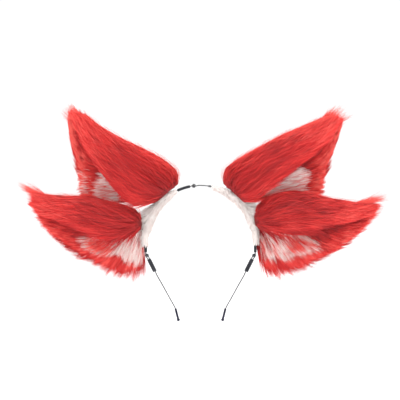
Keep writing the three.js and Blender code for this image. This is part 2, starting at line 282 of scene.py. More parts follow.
RED_TONES = [(0.0, (0.30, 0.006, 0.008)), (0.3, (0.58, 0.012, 0.014)),
             (0.6, (0.83, 0.038, 0.034)), (1.0, (1.0, 0.135, 0.11))]
WHITE_TONES = [(0.0, (0.72, 0.58, 0.54)), (0.5, (0.92, 0.86, 0.83)), (1.0, (1.0, 0.98, 0.96))]
TUFT_TONES = [(0.0, (0.58, 0.30, 0.28)), (0.5, (0.84, 0.62, 0.58)), (1.0, (1.0, 0.88, 0.85))]
# The two ramps below are painted shade along a strand, darkest at the root, for the shade deep in
# the pile; the paler one is for white fur.
ROOT_SHADE_TO_TIP = [(0.0, (0.5, 0.45, 0.45)), (0.35, (0.92, 0.9, 0.9)), (1.0, (1.0, 1.0, 1.0))]
PALE_ROOT_SHADE = [(0.0, (0.8, 0.72, 0.7)), (0.3, (0.97, 0.95, 0.95)), (1.0, (1.0, 1.0, 1.0))]

# ---- meshes ----


def mesh(name, points, faces, look, uvs=None):
    """A mesh object from points in mm and faces, an array of corners or several of them."""
    groups = [f for f in (faces if isinstance(faces, list) else [faces]) if len(f)]
    corners = np.concatenate([f.ravel() for f in groups]).astype(np.int32)
    sizes = np.concatenate([np.full(len(f), f.shape[1]) for f in groups])
    data = bpy.data.meshes.new(name)
    data.vertices.add(len(points))
    data.vertices.foreach_set("co", (points * MM).astype(np.float32).ravel())
    data.loops.add(len(corners))
    data.loops.foreach_set("vertex_index", corners)
    data.polygons.add(len(sizes))
    starts = np.concatenate([[0], np.cumsum(sizes)[:-1]])
    data.polygons.foreach_set("loop_start", starts.astype(np.int32))
    data.polygons.foreach_set("use_smooth", np.full(len(sizes), True))
    if uvs is not None:
        layer = data.uv_layers.new(name=STRAND_UV)
        layer.data.foreach_set("uv", uvs[corners].astype(np.float32).ravel())
    data.update()
    data.validate()
    data.materials.append(look)
    return shown(name, data)


def weld(made, gap=1e-6):
    """Merges doubled corners and turns the faces outwards."""
    work = bmesh.new()
    work.from_mesh(made.data)
    bmesh.ops.remove_doubles(work, verts=work.verts, dist=gap)
    bmesh.ops.dissolve_degenerate(work, edges=work.edges, dist=gap)
    bmesh.ops.recalc_face_normals(work, faces=work.faces)
    work.to_mesh(made.data)
    work.free()
    return made


def ring_faces(rings, around):
    """The faces between closed rings of corners, each ring joined to the next."""
    a = np.arange(rings - 1)[:, None] * around
    b = np.arange(around)[None, :]
    c = (b + 1) % around
    return np.stack([a + b, a + c, a + around + c, a + around + b], -1).reshape(-1, 4)


def stand_in(made, node):
    """Makes a piece stand for a CAD node, on the node's body."""
    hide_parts(node)
    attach(made, frame["nodes"][node]["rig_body"])
    return made


def unit(vectors):
    return vectors / np.maximum(norm(vectors, axis=-1, keepdims=True), 1e-9)


def smoothstep(low, high, x):
    k = np.clip((x - low) / (high - low), 0, 1)
    return k * k * (3 - 2 * k)


STRAND_STEPS = 6  # places along a strand, its root and its tip among them
TAPER_WIDE, TAPER_POWER = 1.15, 0.6
TONE_ENDS, UV_ENDS = (0.01, 0.99), (0.002, 0.998)
ACROSS_STRAND = np.array([-0.006, 0.006])  # a strand's two sides differ so little in tone
FACING_SPREAD, WIDTH_SPREAD = 0.45, (0.7, 1.3)


def ribbons(name, paths, facing, widths, tones, look):
    """Tapering strands as flat ribbons along paths (strand, step, xyz), turned to facing."""
    count, steps = paths.shape[:2]
    way = unit(np.gradient(paths, axis=1))
    side = unit(np.cross(way, facing[:, None, :]))
    run = np.linspace(0, 1, steps)
    half = widths[:, None] * 0.5 * np.clip(TAPER_WIDE * (1 - run) ** TAPER_POWER, 0, 1)[None, :]
    left, right = paths - side * half[..., None], paths + side * half[..., None]
    body = np.stack([left[:, :-1], right[:, :-1]], axis=2).reshape(count, -1, 3)
    points = np.concatenate([body, paths[:, -1:]], axis=1).reshape(-1, 3)
    per = 2 * (steps - 1) + 1
    first = (np.arange(count) * per)[:, None]
    rows = np.arange(steps - 2)[None, :] * 2
    quads = np.stack([first + rows, first + rows + 1, first + rows + 3, first + rows + 2], -1)
    last = 2 * (steps - 2)
    ends = np.stack([first + last, first + last + 1, first + last + 2], -1)
    u = np.clip(tones, *TONE_ENDS)
    sides = np.tile(u[:, None, None] + ACROSS_STRAND, (1, steps - 1, 1)).reshape(count, -1)
    us = np.concatenate([sides, u[:, None]], 1)
    vs = np.tile(np.concatenate([np.repeat(run[:-1], 2), [1.0]]), (count, 1))
    uvs = np.clip(np.stack([us, vs], -1).reshape(-1, 2), *UV_ENDS)
    return mesh(name, points, [quads.reshape(-1, 4), ends.reshape(-1, 3)], look, uvs)


def strands(name, paths, towards, width, tones, look, spread=FACING_SPREAD):
    """Ribbons of uneven width along paths, each turned roughly towards a direction."""
    count = len(paths)
    facing = unit(towards + rng.normal(0, spread, (count, 3)))
    widths = width * rng.uniform(*WIDTH_SPREAD, count)
    return ribbons(name, paths, facing, widths, tones, look)


# ---- the ears' folded surfaces ----

EAR_DEPTH_FRONT, EAR_DEPTH_BACK = 13.0, 12.0  # how far the flap and the rim swell in y
SWELL_FRONT, SWELL_BACK = 4.0, 2.0  # and how much more in the middle of the ear's length
HIDE = (0.8, 2.6)  # the depths below the fur's outside that the leaves lie between
LINING = (4.4, 6.6)

# ridge, flap, rim and tip are in the front view, x and z, and y is how far the ear stands off
# the band. end is the line that a tip's strands stop at, as its normal and its distance from the
# origin. brush is how far the tip's strands turn to the ear's axis.
# comb: which way the pile is combed at places in the front view, in degrees from +X.
# white: where the white tuft grows inside the ear, x, z, radii and thickness of growth.
# fan: the same for the fan at the base, and its number of strands.
# tail: which way the wisps at the tip point, in degrees, and how far past end they stop.
# pad: where the felt pad lies on the band, in degrees from the top.
# cut, lining_cut: the flat leaf's width, length and area, in metres and square metres.
EARS = {
    "left_upper_ear": dict(
        side=-1, y=4, tip=(-154, 88), lower=False, pad=(26, 44),
        cut=(0.152, 0.182, 0.0155), lining_cut=(0.136, 0.169, 0.0133),
        ridge=[(-26, 3), (-28, 16.5), (-44, 30.5), (-71, 44.5), (-97, 57), (-121, 70.5),
               (-141, 85)],
        flap=[(-52, -19), (-68, -21), (-84, -17), (-98, -2), (-114, 15), (-132, 39), (-146, 65)],
        rim=[(-55, -21), (-84, -19), (-112, -18), (-135, -10), (-144, 18), (-154, 46), (-159, 70)],
        end=(-0.23, 0.97, 119), brush=0.15,
        comb=[(-103, -5, 178), (-120, 1, 178), (-124, 16, 170), (-139, 1, 181), (-147, 1, 182),
              (-135, 31, 122), (-144, 43, 112), (-153, 30, 108), (-147, 13, 150), (-154, 61, 98),
              (-158, 80, 100), (-140, -12, 184)],
        white=[(-104, -4, 10, 14, 1), (-137, -1, 8, 13, 0.02)], white_count=3300,
        white_length=(9, 18), fan=None, tail=(130, 0, 14),
    ),
    "left_lower_ear": dict(
        side=-1, y=-6, tip=(-205, -9), lower=True, pad=(68, 86),
        cut=(0.108, 0.162, 0.0115), lining_cut=(0.094, 0.152, 0.0097),
        ridge=[(-69, -42), (-73, -33), (-86, -25), (-110, -19.5), (-134, -13.5), (-158, -13.5),
               (-184, -12)],
        flap=[(-71, -52), (-85, -57), (-102, -60), (-122, -56), (-148, -45), (-172, -37.5),
              (-191, -30)],
        rim=[(-68, -77), (-84, -83), (-106, -83), (-130, -79), (-152, -69), (-176, -52),
             (-196, -29)],
        end=(-0.957, -0.29, 193), brush=0.6,
        comb=[(-69, -65, 268), (-65, -91, 276), (-79, -65, 248), (-94, -70, 228),
              (-109, -73, 206), (-123, -71, 186), (-135, -65, 170), (-157, -53, 160),
              (-181, -35, 166), (-99, -98, 238), (-84, -98, 262), (-112, -86, 205),
              (-127, -86, 186), (-151, -74, 172), (-171, -60, 164), (-190, -40, 162)],
        white=[(-110, -66, 13, 6, 1)], white_count=1700, white_length=(13, 24),
        fan=(-77, -60, 11, 10, 1, 1700), tail=(157, 3, 20),
    ),
    "right_upper_ear": dict(
        side=1, y=4, tip=(166, 86), lower=False, pad=(26, 44),
        cut=(0.139, 0.183, 0.0152), lining_cut=(0.123, 0.170, 0.0129),
        ridge=[(27, 3), (29, 18), (45, 31), (69, 44.5), (93, 57.5), (120, 69.5), (144, 79.5)],
        flap=[(52, -20), (66, -14), (81, 0), (101, 17), (123, 33), (144, 51), (160, 68)],
        rim=[(55, -22), (84, -15), (114, -14), (137, -10), (147, 16), (159, 42), (168, 68)],
        end=(0.53, 0.85, 154), brush=0.4,
        comb=[(95, -2, 20), (119, 5, 18), (131, 17, 20), (141, 7, 14), (134, 41, 45),
              (146, 43, 60), (153, 25, 55), (149, 7, 32), (161, 55, 72), (166, 77, 62),
              (143, -10, 8)],
        white=[(92, -6, 16, 7, 1), (107, 5, 9, 11, 1)], white_count=3300,
        white_length=(11, 21), fan=None, tail=(43, 4, 20),
    ),
    "right_lower_ear": dict(
        side=1, y=-6, tip=(208, -27), lower=True, pad=(64, 86),
        cut=(0.130, 0.156, 0.0132), lining_cut=(0.115, 0.146, 0.0112),
        ridge=[(63, -37), (67, -26), (81, -14.5), (106, -7.5), (130, -9.5), (156, -16),
               (184, -21)],
        flap=[(66, -48), (78, -52), (98, -53), (122, -50), (146, -45.5), (170, -41), (190, -37)],
        rim=[(68, -77), (86, -84), (110, -85), (134, -81), (158, -71), (181, -57), (198, -42)],
        end=(0.845, -0.53, 190), brush=0.5,
        comb=[(69, -65, 284), (74, -91, 287), (86, -65, 308), (107, -71, 320), (125, -68, 330),
              (143, -62, 345), (167, -53, 10), (191, -43, 16), (85, -94, 304), (98, -92, 325),
              (119, -94, 342), (143, -86, 352), (173, -71, 356), (186, -56, 8)],
        white=[(99, -62, 18, 7, 1)], white_count=3100, white_length=(15, 28),
        fan=(84, -61, 10, 8, 1, 650), tail=(18, 3, 20),
    ),
}


def spline(points, t):
    """A centripetal Catmull-Rom curve through the points, evenly timed between them."""
    p = np.array(points, float)
    p = np.concatenate([[2 * p[0] - p[1]], p, [2 * p[-1] - p[-2]]])
    spans = len(p) - 3
    run = np.clip(t, 0, 1) * spans
    i = np.minimum(run.astype(int), spans - 1)
    w = (run - i)[:, None]
    p0, p1, p2, p3 = (p[i + k] for k in range(4))
    d0, d1, d2 = (norm(b - a, axis=1)[:, None] ** 0.5
                  for a, b in ((p0, p1), (p1, p2), (p2, p3)))
    m1 = ((p1 - p0) / d0 - (p2 - p0) / (d0 + d1) + (p2 - p1) / d1) * d1
    m2 = ((p2 - p1) / d1 - (p3 - p1) / (d1 + d2) + (p3 - p2) / d2) * d1
    return p1 + m1 * w + (3 * (p2 - p1) - 2 * m1 - m2) * w**2 + (2 * (p1 - p2) + m1 + m2) * w**3


BASE_ROLL = 0.09  # over this first stretch the leaf rolls in round the band
CLEAR_OF_LEG = 0.03  # brushed strands stay as far back as the leaf is here, behind the leg
BRUSH_FROM = 0.86  # past here the strands run on side by side, instead of closing on a point
SLOWEST, FASTEST = 60, 180  # mm per whole length, where a closing leaf's own speed runs away


def ear_surface(ear):
    """at(s, t, depth, lift): the ear's folded surface. s runs from -1 at the rim, over the
    ridge at 0, to 1 at the flap's free edge, and t from the base to the tip. depth goes below
    the outer surface, and lift stands off from it."""
    curves = [ear[k] + [ear["tip"]] for k in ("ridge", "flap", "rim")]

    def on(s, t, depth, lift):
        top, front, back = (spline(c, t) for c in curves)
        close, swell = (1 - t**3)[:, None], np.sin(np.pi * t)[:, None]
        s, depth, lift = s[:, None], depth[:, None], lift[:, None]
        inward = unit((front + back) / 2 - top)
        top = top + inward * (depth * close - lift)
        turn = s * np.pi / 2
        edge = np.where(s > 0, front, back)
        span = np.where(s > 0, EAR_DEPTH_FRONT + SWELL_FRONT * swell,
                        EAR_DEPTH_BACK + SWELL_BACK * swell)
        roll = 0.35 + 0.65 * np.sqrt(1 - np.clip(1 - t[:, None] / BASE_ROLL, 0, 1) ** 2)
        half = (span * close - depth * close) * roll + lift
        flat = top + (edge - top) * (1 - np.cos(turn))
        settle = ear["y"] * np.sin(np.minimum(1, 3 * t) * np.pi / 2)
        y = settle[:, None] - half * np.sin(turn)
        return np.concatenate([flat[:, :1], y, flat[:, 1:]], axis=1)

    base = (np.array(ear["flap"][0]) + np.array(ear["ridge"][0])) / 2
    axis = np.array(ear["tip"]) - base
    axis = np.array([axis[0], 0, axis[1]]) / norm(axis)

    def at(s, t, depth, lift):
        s, t, depth, lift = (np.ravel(a) for a in np.broadcast_arrays(s, t, depth, lift))
        near = np.clip(t, 0, BRUSH_FROM)
        place = on(s, near, depth, lift)
        step = 0.02
        slope = (on(s, np.clip(near + step, 0, 1), depth, lift) - place) / step
        speed = norm(slope, axis=1, keepdims=True)
        away = unit((1 - ear["brush"]) * slope / np.maximum(speed, 1e-9) + ear["brush"] * axis)
        past = np.maximum(t - BRUSH_FROM, 0)[:, None]
        place = place + away * past * np.minimum(speed, FASTEST)
        return place + slope * np.minimum(t, 0)[:, None]

    return at


def metric(at, s, t, depth, e=1e-3):
    """The surface's directions along s and t and its outward normal at each place."""
    here = at(s, t, depth, 0.0)
    along_s = (at(s + e, t, depth, 0.0) - here) / e
    along_t = (at(s, t + e, depth, 0.0) - here) / e
    out = unit(at(s, t, depth, 1.0) - here)
    return along_s, along_t, out


TRIES, TRIES_IN_SPOTS = 5, 20  # random places to choose each strand's root from


def scatter(at, count, s_range, t_range, depth, share):
    """Random places over a stretch of the surface, as dense as share(places) says."""
    tries = count * (TRIES if share is None else TRIES_IN_SPOTS)
    s = rng.uniform(*s_range, tries)
    t = rng.uniform(*t_range, tries)
    along_s, along_t, _ = metric(at, s, t, depth)
    area = norm(np.cross(along_s, along_t), axis=1)
    if share is not None:
        area = area * share(at(s, t, depth, 0.0))
    keep = rng.choice(tries, count, replace=False, p=area / area.sum())
    return s[keep], t[keep]


def nearest(points, guides, block=2000):
    """The number of the guide nearest to each point, worked out a block at a time."""
    found = np.empty(len(points), int)
    for start in range(0, len(points), block):
        some = slice(start, start + block)
        gap = ((points[some, None, :] - guides[None, :, :]) ** 2).sum(-1)
        found[some] = gap.argmin(1)
    return found


LOCK_CLOSE = 0.75  # how far a lock closes up in brushed pile and in the band's plush


def locked(roots, places, go, locks, together):
    """Draws the strands' runs, go, into locks: (how many, how strongly, how much each is
    tinted). together says how far a lock's strands close up on the lock's own strand."""
    tint = np.zeros(len(roots))
    for size, pull, contrast in locks:
        pick = rng.choice(len(roots), size, replace=False)
        own = nearest(roots, roots[pick])
        go = go + pull * (go[pick][own] - go + together * (places[pick][own] - places))
        tint += rng.normal(0, contrast, size)[own]
    return go, tint


RAGGED = 2.2  # mm, the height of each of the two waves along the end line
SHORTEST = 0.1


def stopped(paths, end, slack):
    """The share of each path that lies inside the ear's end line, which is ragged."""
    count, steps = paths.shape[:2]
    out = paths[..., 0] * end[0] + paths[..., 2] * end[1]
    across = (paths[:, -1, 2] * end[0] - paths[:, -1, 0] * end[1]) + 0.5 * paths[:, 0, 1]
    ragged = RAGGED * np.sin(1.3 * across) + RAGGED * np.sin(0.61 * across + 1.7)
    limit = end[2] + rng.uniform(*slack, count) + ragged
    over = out > limit[:, None]
    k = np.maximum(over.argmax(1), 1)
    each = np.arange(count)
    low, high = out[each, k - 1], out[each, k]
    part = (k - 1 + np.clip((limit - low) / np.maximum(high - low, 1e-6), 0, 1)) / (steps - 1)
    return np.where(over.any(1), np.maximum(part, SHORTEST), 1.0)


def coat(name, ear, look, count, s_range, t_range, length, lean, lift, tone, width=0.42,
         locks=((60, 0.2, 0.05), (1500, 0.5, 0.09)), waver=0.05, slack=(-15, 6)):
    """Outer pile that follows the ear's surface. lean(s, t) is the angle that strands turn from
    the ear's length towards larger s, in radians; tone(s, t) is their shade. length and lift
    are in mm, from and to, and slack is how far past the end line strands stop."""
    at, depth = ear_surface(ear), HIDE[0]
    s, t = scatter(at, count, s_range, t_range, depth, None)
    along_s, along_t, out = metric(at, s, t, depth)
    speed_s, speed_t = norm(along_s, axis=1), norm(along_t, axis=1)
    roots = at(s, t, depth, 0.0)
    own_length = rng.uniform(*length, count)
    angle = lean(s, t) + rng.normal(0, waver, count)
    rise = rng.uniform(*lift, count)
    go = np.stack([own_length * np.sin(angle) / speed_s,
                   own_length * np.cos(angle) / np.maximum(speed_t, SLOWEST), rise], 1)
    places = np.stack([s, t, rise], 1)
    go, tint = locked(roots, places, go, locks, np.array([0.7, 0.3, 0]))
    shade = tone(s, t) + tint + rng.normal(0, 0.06, count)
    run = np.linspace(0, 1, STRAND_STEPS)[None, :]

    def paths(part):
        along = run * part[:, None]
        path_s = s[:, None] + go[:, :1] * along**1.3
        path_t = t[:, None] + go[:, 1:2] * along
        path_lift = go[:, 2:] * np.sin(along * np.pi * 0.62)
        return at(path_s, path_t, depth + 0 * along, path_lift).reshape(count, -1, 3)

    part = stopped(paths(np.ones(count)), ear["end"], slack)
    return strands(name, paths(part), out, width, shade, look)


COMB_BLUR = 16  # square mm, within which one comb mark passes smoothly into the next
LEAST_CELL = 900  # square mm: the leaf seen edge-on would otherwise send its strands far off
FURTHEST_S, FURTHEST_T = 0.8, 0.4


def combed(marks, places):
    """Which way the comb goes at each place in the front view, from the marks round it."""
    spots = np.array([m[:2] for m in marks], float)
    turn = np.radians([m[2] for m in marks])
    gap = ((places[:, None, [0, 2]] - spots[None]) ** 2).sum(-1)
    way = (1 / (gap + COMB_BLUR) ** 1.5) @ np.stack([np.cos(turn), np.sin(turn)], 1)
    return unit(np.stack([way[:, 0], np.zeros(len(way)), way[:, 1]], 1))


def brushed(name, ear, look, count, s_range, t_range, length, lift, tone, depth, width=0.4,
            locks=((60, 0.2, 0.06), (700, 0.55, 0.12)), waver=0.08, base_waver=0.0,
            share=None, slack=(-12, 4), inner=True, reach=None, marks=None):
    """Pile that lies the way it is combed in the front view: the ear's inside, rim and base.
    reach(s, t) scales the strands' length, and the rest is as for coat."""
    at = ear_surface(ear)
    s, t = scatter(at, count, s_range, t_range, depth, share)
    along_s, along_t, out = metric(at, s, t, depth)
    roots = at(s, t, depth, 0.0)
    way = combed(marks or ear["comb"], roots)
    side = np.stack([-way[:, 2], 0 * way[:, 0], way[:, 0]], 1)
    loose = waver + base_waver * (1 - smoothstep(0.0, 0.1, t))
    way = unit(way + side * (rng.normal(0, 1, count) * loose)[:, None])
    own_length = rng.uniform(*length, count)
    if reach is not None:
        own_length = own_length * reach(s, t)
    go, tint = locked(roots, roots, way * own_length[:, None], locks, LOCK_CLOSE)
    cell = along_s[:, 0] * along_t[:, 2] - along_s[:, 2] * along_t[:, 0]
    cell = np.where(cell < 0, -1, 1) * np.maximum(np.abs(cell), LEAST_CELL)
    run_s = (go[:, 0] * along_t[:, 2] - go[:, 2] * along_t[:, 0]) / cell
    run_t = (go[:, 2] * along_s[:, 0] - go[:, 0] * along_s[:, 2]) / cell
    run_s = np.clip(run_s, -FURTHEST_S, FURTHEST_S)
    run_t = np.clip(run_t, -FURTHEST_T, FURTHEST_T)
    shade = tone(s, t, roots) + tint + rng.normal(0, 0.07, count)
    run = np.linspace(0, 1, STRAND_STEPS)[None, :, None]
    up = (-out if inner else out)[:, None, :] * rng.uniform(*lift, count)[:, None, None]

    def paths(part):
        along = run * part[:, None, None]
        place = roots[:, None] + go[:, None] * along
        under_t = np.maximum(t[:, None] + run_t[:, None] * along[..., 0], CLEAR_OF_LEG)
        under = at(s[:, None] + run_s[:, None] * along[..., 0], under_t, depth, 0.0)
        place[..., 1] = under[:, 1].reshape(count, -1)
        place[..., 2] -= along[..., 0] ** 2
        return place + up * np.sin(along * np.pi * 0.6)

    part = stopped(paths(np.ones(count)), ear["end"], slack)
    return strands(name, paths(part), np.array([0, -1, 0]), width, shade, look)


LEAF_ACROSS, LEAF_STATIONS = 40, 60  # as smooth as the pile over a leaf needs


def leaf(name, at, depths, s_range, t_range, look):
    """A closed leaf between two depths."""
    loop = 2 * (LEAF_ACROSS + 1)
    step = np.arange(loop)
    outside = step <= LEAF_ACROSS
    k = np.where(outside, step, loop - 1 - step) / LEAF_ACROSS
    s = s_range[0] + (s_range[1] - s_range[0]) * k
    rows = np.arange(LEAF_STATIONS + 3)
    share = np.clip(rows - 1, 0, LEAF_STATIONS)
    t = t_range[0] + (t_range[1] - t_range[0]) * share / LEAF_STATIONS
    ends = (rows == 0) | (rows == rows[-1])
    depth = np.where(outside, depths[0], depths[1])[None, :] * np.ones((len(rows), 1))
    depth[ends] = sum(depths) / 2
    points = at(np.tile(s, (len(rows), 1)), np.tile(t[:, None], (1, loop)), depth, 0.0)
    return weld(mesh(name, points, ring_faces(len(rows), loop), look))


ROOTED = (0.0, 0.93)  # the stretch of the leaf that strands grow from


def make_ear(name, ear):
    at, lower = ear_surface(ear), ear["lower"]

    def outer_tone_and_painted_light(s, t):
        """Painted light and shade: a painted highlight along an upper ear's ridge, painted rim
        light at the edges, painted shade in deep red over a flap's base and over all of a lower
        ear; paler towards a tip.
        """
        ridge = (0.12 if lower else 0.52) * np.exp(-((s / 0.32) ** 2))
        edge = smoothstep(0.75, 1.0, np.abs(s))
        tip = smoothstep(0.35, 0.95, t)
        return (0.1 if lower else 0.14) + ridge + 0.5 * tip + 0.12 * edge

    def outer_lean(s, t):
        over_flap = 0.18 * smoothstep(0.6, 1.0, s)
        corner = np.exp(-(((t - 0.42) / 0.12) ** 2))
        over_rim = (0.5 if lower else 0.08 + 0.3 * corner) * smoothstep(0.5, 1.0, -s)
        return over_flap - over_rim

    def fringe_tone(s, t, roots):
        # Pale as painted rim light, darker on the lower ears as painted shade, and paler towards
        # the tip.
        return (0.42 if lower else 0.75) + 0.35 * smoothstep(0.35, 0.95, t)

    def fringe_reach(s, t):
        if lower:
            return 0.75 + 0.8 * (1 - smoothstep(0.1, 0.4, t))
        return 0.8 + 1.0 * np.exp(-(((t - 0.42) / 0.1) ** 2))

    def inner_tone_and_painted_light(s, t, roots):
        """Painted shade, dark in the fold, and painted light, bright at the rim."""
        rim = smoothstep(0.66, 1.0, -s) if lower else 1.3 * smoothstep(0.62, 0.98, -s)
        return 0.03 + 0.66 * rim + 0.2 * smoothstep(0.6, 0.95, t)

    def inner_reach(s, t):
        """Shorter towards an upper ear's rim, so that its edge stays smooth."""
        edge = smoothstep(0.6, 1.0, -s)
        return 1 - 0.4 * edge * smoothstep(0.2, 0.4, t) if lower else 1 - 0.5 * edge

    def streak_tone(s, t, roots):
        # Brighter towards the rim: painted light, as in the inner pile.
        return 0.25 + 0.5 * smoothstep(0.4, 0.9, -s)

    def even(shade):
        return lambda s, t, roots: shade + 0 * s

    def growth(spots):
        """share(places): how thickly strands grow there."""
        def share(places):
            thick = 0
            for x, z, wide, high, weight in spots:
                off = ((places[:, 0] - x) / wide) ** 2 + ((places[:, 2] - z) / high) ** 2
                thick = thick + weight * np.exp(-(off**1.5))
            return thick + 1e-9
        return share

    def skin(piece, part, *ways):
        made = leaf(f"{name}_{piece}", at, *ways)
        return stand_in(made, f"{name}_{part}")

    def grown(by, piece, part, count, s_range, t_range, **ways):
        look = looks["tuft" if part == "tuft" else "red"]
        made = by(f"{name}_{piece}", ear, look, count, s_range, t_range, **ways)
        return stand_in(made, f"{name}_{part}")

    hide = skin("hide", "fur", HIDE, (-1, 1), (0, 0.92), looks["hide"])
    front = grown(coat, "front_coat", "fur", 19500, (-0.15, 1), ROOTED, length=(30, 46),
                  lift=(0.8, 3.0), lean=outer_lean, tone=outer_tone_and_painted_light)
    rear = grown(coat, "back_coat", "fur", 15000, (-1, -0.1), ROOTED, length=(26, 42),
                 lift=(0.8, 3.0), lean=outer_lean, tone=outer_tone_and_painted_light)
    # The wisps are paler than the pile: painted light for the glow where light comes through the
    # fur's edge.
    grown(coat, "wisps", "fur", 2400, (-1, 1), ROOTED, length=(16, 32), lift=(2.5, 7.0),
          lean=outer_lean, tone=lambda s, t: outer_tone_and_painted_light(s, t) + 0.3, width=0.25,
          locks=((300, 0.3, 0.1),), waver=0.25, slack=(-4, 11))
    tail_turn, *tail_slack = ear["tail"]
    grown(brushed, "tail", "fur", 260, (-0.3, 0.3) if lower else (-0.9, 0.7), (0.84, 0.92),
          length=(16, 40), lift=(0.3, 1.2), tone=even(0.95), depth=1.2, width=0.28,
          locks=((22, 0.45, 0.1),), waver=0.14, slack=tail_slack, inner=False,
          marks=[(*ear["tip"], tail_turn)])
    grown(brushed, "fringe", "fur", 7500, (-1, -0.84), ROOTED,
          length=(14, 29) if lower else (5, 10), lift=(0.2, 1.2), tone=fringe_tone, depth=1.6,
          locks=((60, 0.12, 0.05), (600, 0.52, 0.15)), waver=0.1, base_waver=0.14,
          slack=(-11, 8), reach=fringe_reach)

    top = LINING[1]
    lining = skin("lining_skin", "lining", LINING, (-0.97, 0.97), (0.02, 0.9), looks["deep"])
    inside = grown(brushed, "inner_coat", "lining", 17000, (-1, -0.15), (0.02, 0.93),
                   length=(18, 30) if lower else (13, 24), lift=(0.2, 2.2), tone=inner_tone_and_painted_light,
                   depth=top, locks=((60, 0.12, 0.08), (900, 0.38, 0.2)), reach=inner_reach)
    grown(brushed, "tuft_coat", "tuft", ear["white_count"], (-0.99, -0.2), (0.0, 0.75),
          length=ear["white_length"], lift=(0.4, 2.8), tone=even(0.62 if lower else 1.0),
          depth=top + 0.5, width=0.36, locks=((40, 0.15, 0.08), (420, 0.5, 0.16)),
          share=growth(ear["white"]))
    streaked = ear["white"] + ([ear["fan"][:5]] if ear["fan"] else [])
    grown(brushed, "streaks", "lining", 1900 if lower else 220, (-0.97, -0.25), (0.0, 0.7),
          length=(13, 25), lift=(1.2, 4.2), tone=streak_tone, depth=top + 0.6, width=0.34,
          locks=((200, 0.5, 0.2),), share=growth(streaked))
    if ear["fan"]:
        *spot, count = ear["fan"]
        grown(brushed, "fan", "tuft", count, (-0.99, -0.25), (0.0, 0.5), length=(17, 32),
              lift=(1.5, 4.5), tone=even(0.68), depth=top + 0.8, width=0.36, waver=0.16,
              locks=((30, 0.2, 0.06), (150, 0.7, 0.14)), share=growth([spot]))


# ---- the band and its fittings ----

WIRE_R = 0.65
HOOP_R, HOOP_Z = 65 + WIRE_R, -65.0
GAP = 0.3
BORE = WIRE_R + GAP
EYE_R, EYE_LIFT, EYE_TURN = 1.6, 0.9, math.radians(240)
TOP_PIVOT_X, TOP_LINK_X = -8, -3
TOP_PIVOT = np.array([TOP_PIVOT_X, 0, math.sqrt(HOOP_R**2 - TOP_PIVOT_X**2) + HOOP_Z])
LEG_PIVOT = (64.3, -83.2)  # x and z, as are the knee and the end
LEG_LEAN = math.atan2(8, 16)
LEG_KNEE, LEG_END = (30, -147), (26.6, -160.4)
LEG_SLEEVE, LEG_SLEEVE_R, LEG_SLEEVE_BORE = (5.2, 21.6), 2.4, 1.85  # down the leg
TOP_SLEEVE, TOP_SLEEVE_R = (12.6, 27.5), 1.7  # along x
FERRULE, FERRULE_R, FERRULE_WAIST, FERRULE_MOUTH_R = (9.6, 12.6), 1.4, 0.28, 1.25
END_SLEEVE, END_SLEEVE_R = (-69.0, -79.6), 1.6  # down z
RIVET_HEAD_R, RIVET_HEAD, RIVET_SHANK_R, RIVET_EDGE = 1.9, 0.6, 0.65, 0.15
TIP_BALL_R, TIP_NECK_R, TIP_BACK = 1.9, 1.35, 3  # the bore stops short of the end by TIP_BACK
ARC_LOW_Z = -80.0
PLUSH_R = 4.2
PAD_THICK, PAD_HALF, PAD_SOFT, PAD_END = 1.6, 2.0, 0.5, 0.8
THREAD_R, THREAD_PLY, THREAD_TWISTS = 0.26, 0.05, 14
STITCH_R, STITCH_STRETCH, STITCH_OUT = 4.95, 1.26, 1.25


def hoop(side, angle, out=0.0):
    """A point of the band's circle on one side, at an angle from the top."""
    r = HOOP_R + out
    return np.stack([side * r * np.sin(angle), 0 * np.asarray(angle, float),
                     HOOP_Z + r * np.cos(angle)], -1)


def mirrored(side, x, z, y=0.0):
    """A place or direction that mirrors from side to side."""
    return np.array([side * x, y, z])


def turned(name, line, profile, look, sides):
    """A body of turned rings along a line: profile is (radius, distance along the line)."""
    line = np.array(line, float)
    long = np.concatenate([[0], np.cumsum(norm(np.diff(line, axis=0), axis=1))])
    way = unit(np.gradient(line, axis=0))
    first = np.cross(way[0], [0.3, 0.9, 0.31])
    normals = [first / norm(first)]
    for k in range(1, len(line)):
        carried = normals[-1] - way[k] * (normals[-1] @ way[k])
        normals.append(carried / norm(carried))
    normals = np.array(normals)
    rings = np.array(profile, float)
    reach = np.clip(rings[:, 1], 0, long[-1])

    def at_rings(values):
        return np.stack([np.interp(reach, long, values[:, k]) for k in range(3)], 1)

    ahead, one = unit(at_rings(way)), unit(at_rings(normals))
    centre = at_rings(line) + ahead * (rings[:, 1] - reach)[:, None]
    two = np.cross(ahead, one)
    turn = np.linspace(0, 2 * np.pi, sides, endpoint=False)
    spoke = np.cos(turn)[None, :, None] * one[:, None] + np.sin(turn)[None, :, None] * two[:, None]
    points = centre[:, None] + spoke * rings[:, 0][:, None, None]
    return weld(mesh(name, points.reshape(-1, 3), ring_faces(len(rings), sides), look))


SLOT_LOOKS = {
    "steel": "steel", "sleeve_rubber": "rubber", "tip_rubber": "tip", "white_plush": "plush",
    "felt": "felt", "thread": "thread",
}


def fitting(node, slot, line, profile, sides):
    """A turned piece that stands for a CAD node."""
    made = turned(node + "_smooth", line, profile, looks[SLOT_LOOKS[slot]], sides)
    stand_in(made, node)


def length_of(line):
    return norm(np.diff(np.array(line, float), axis=0), axis=1).sum()


def round_rod(line, radius, soft=0.15, end=0.75):
    """The profile of a rod all along a line, with softened ends."""
    long = length_of(line)
    run = np.linspace(soft, long - soft, len(line))
    return ([(0, 0), (radius * end, 0)] + [(radius, h) for h in run]
            + [(radius * end, long), (0, long)])


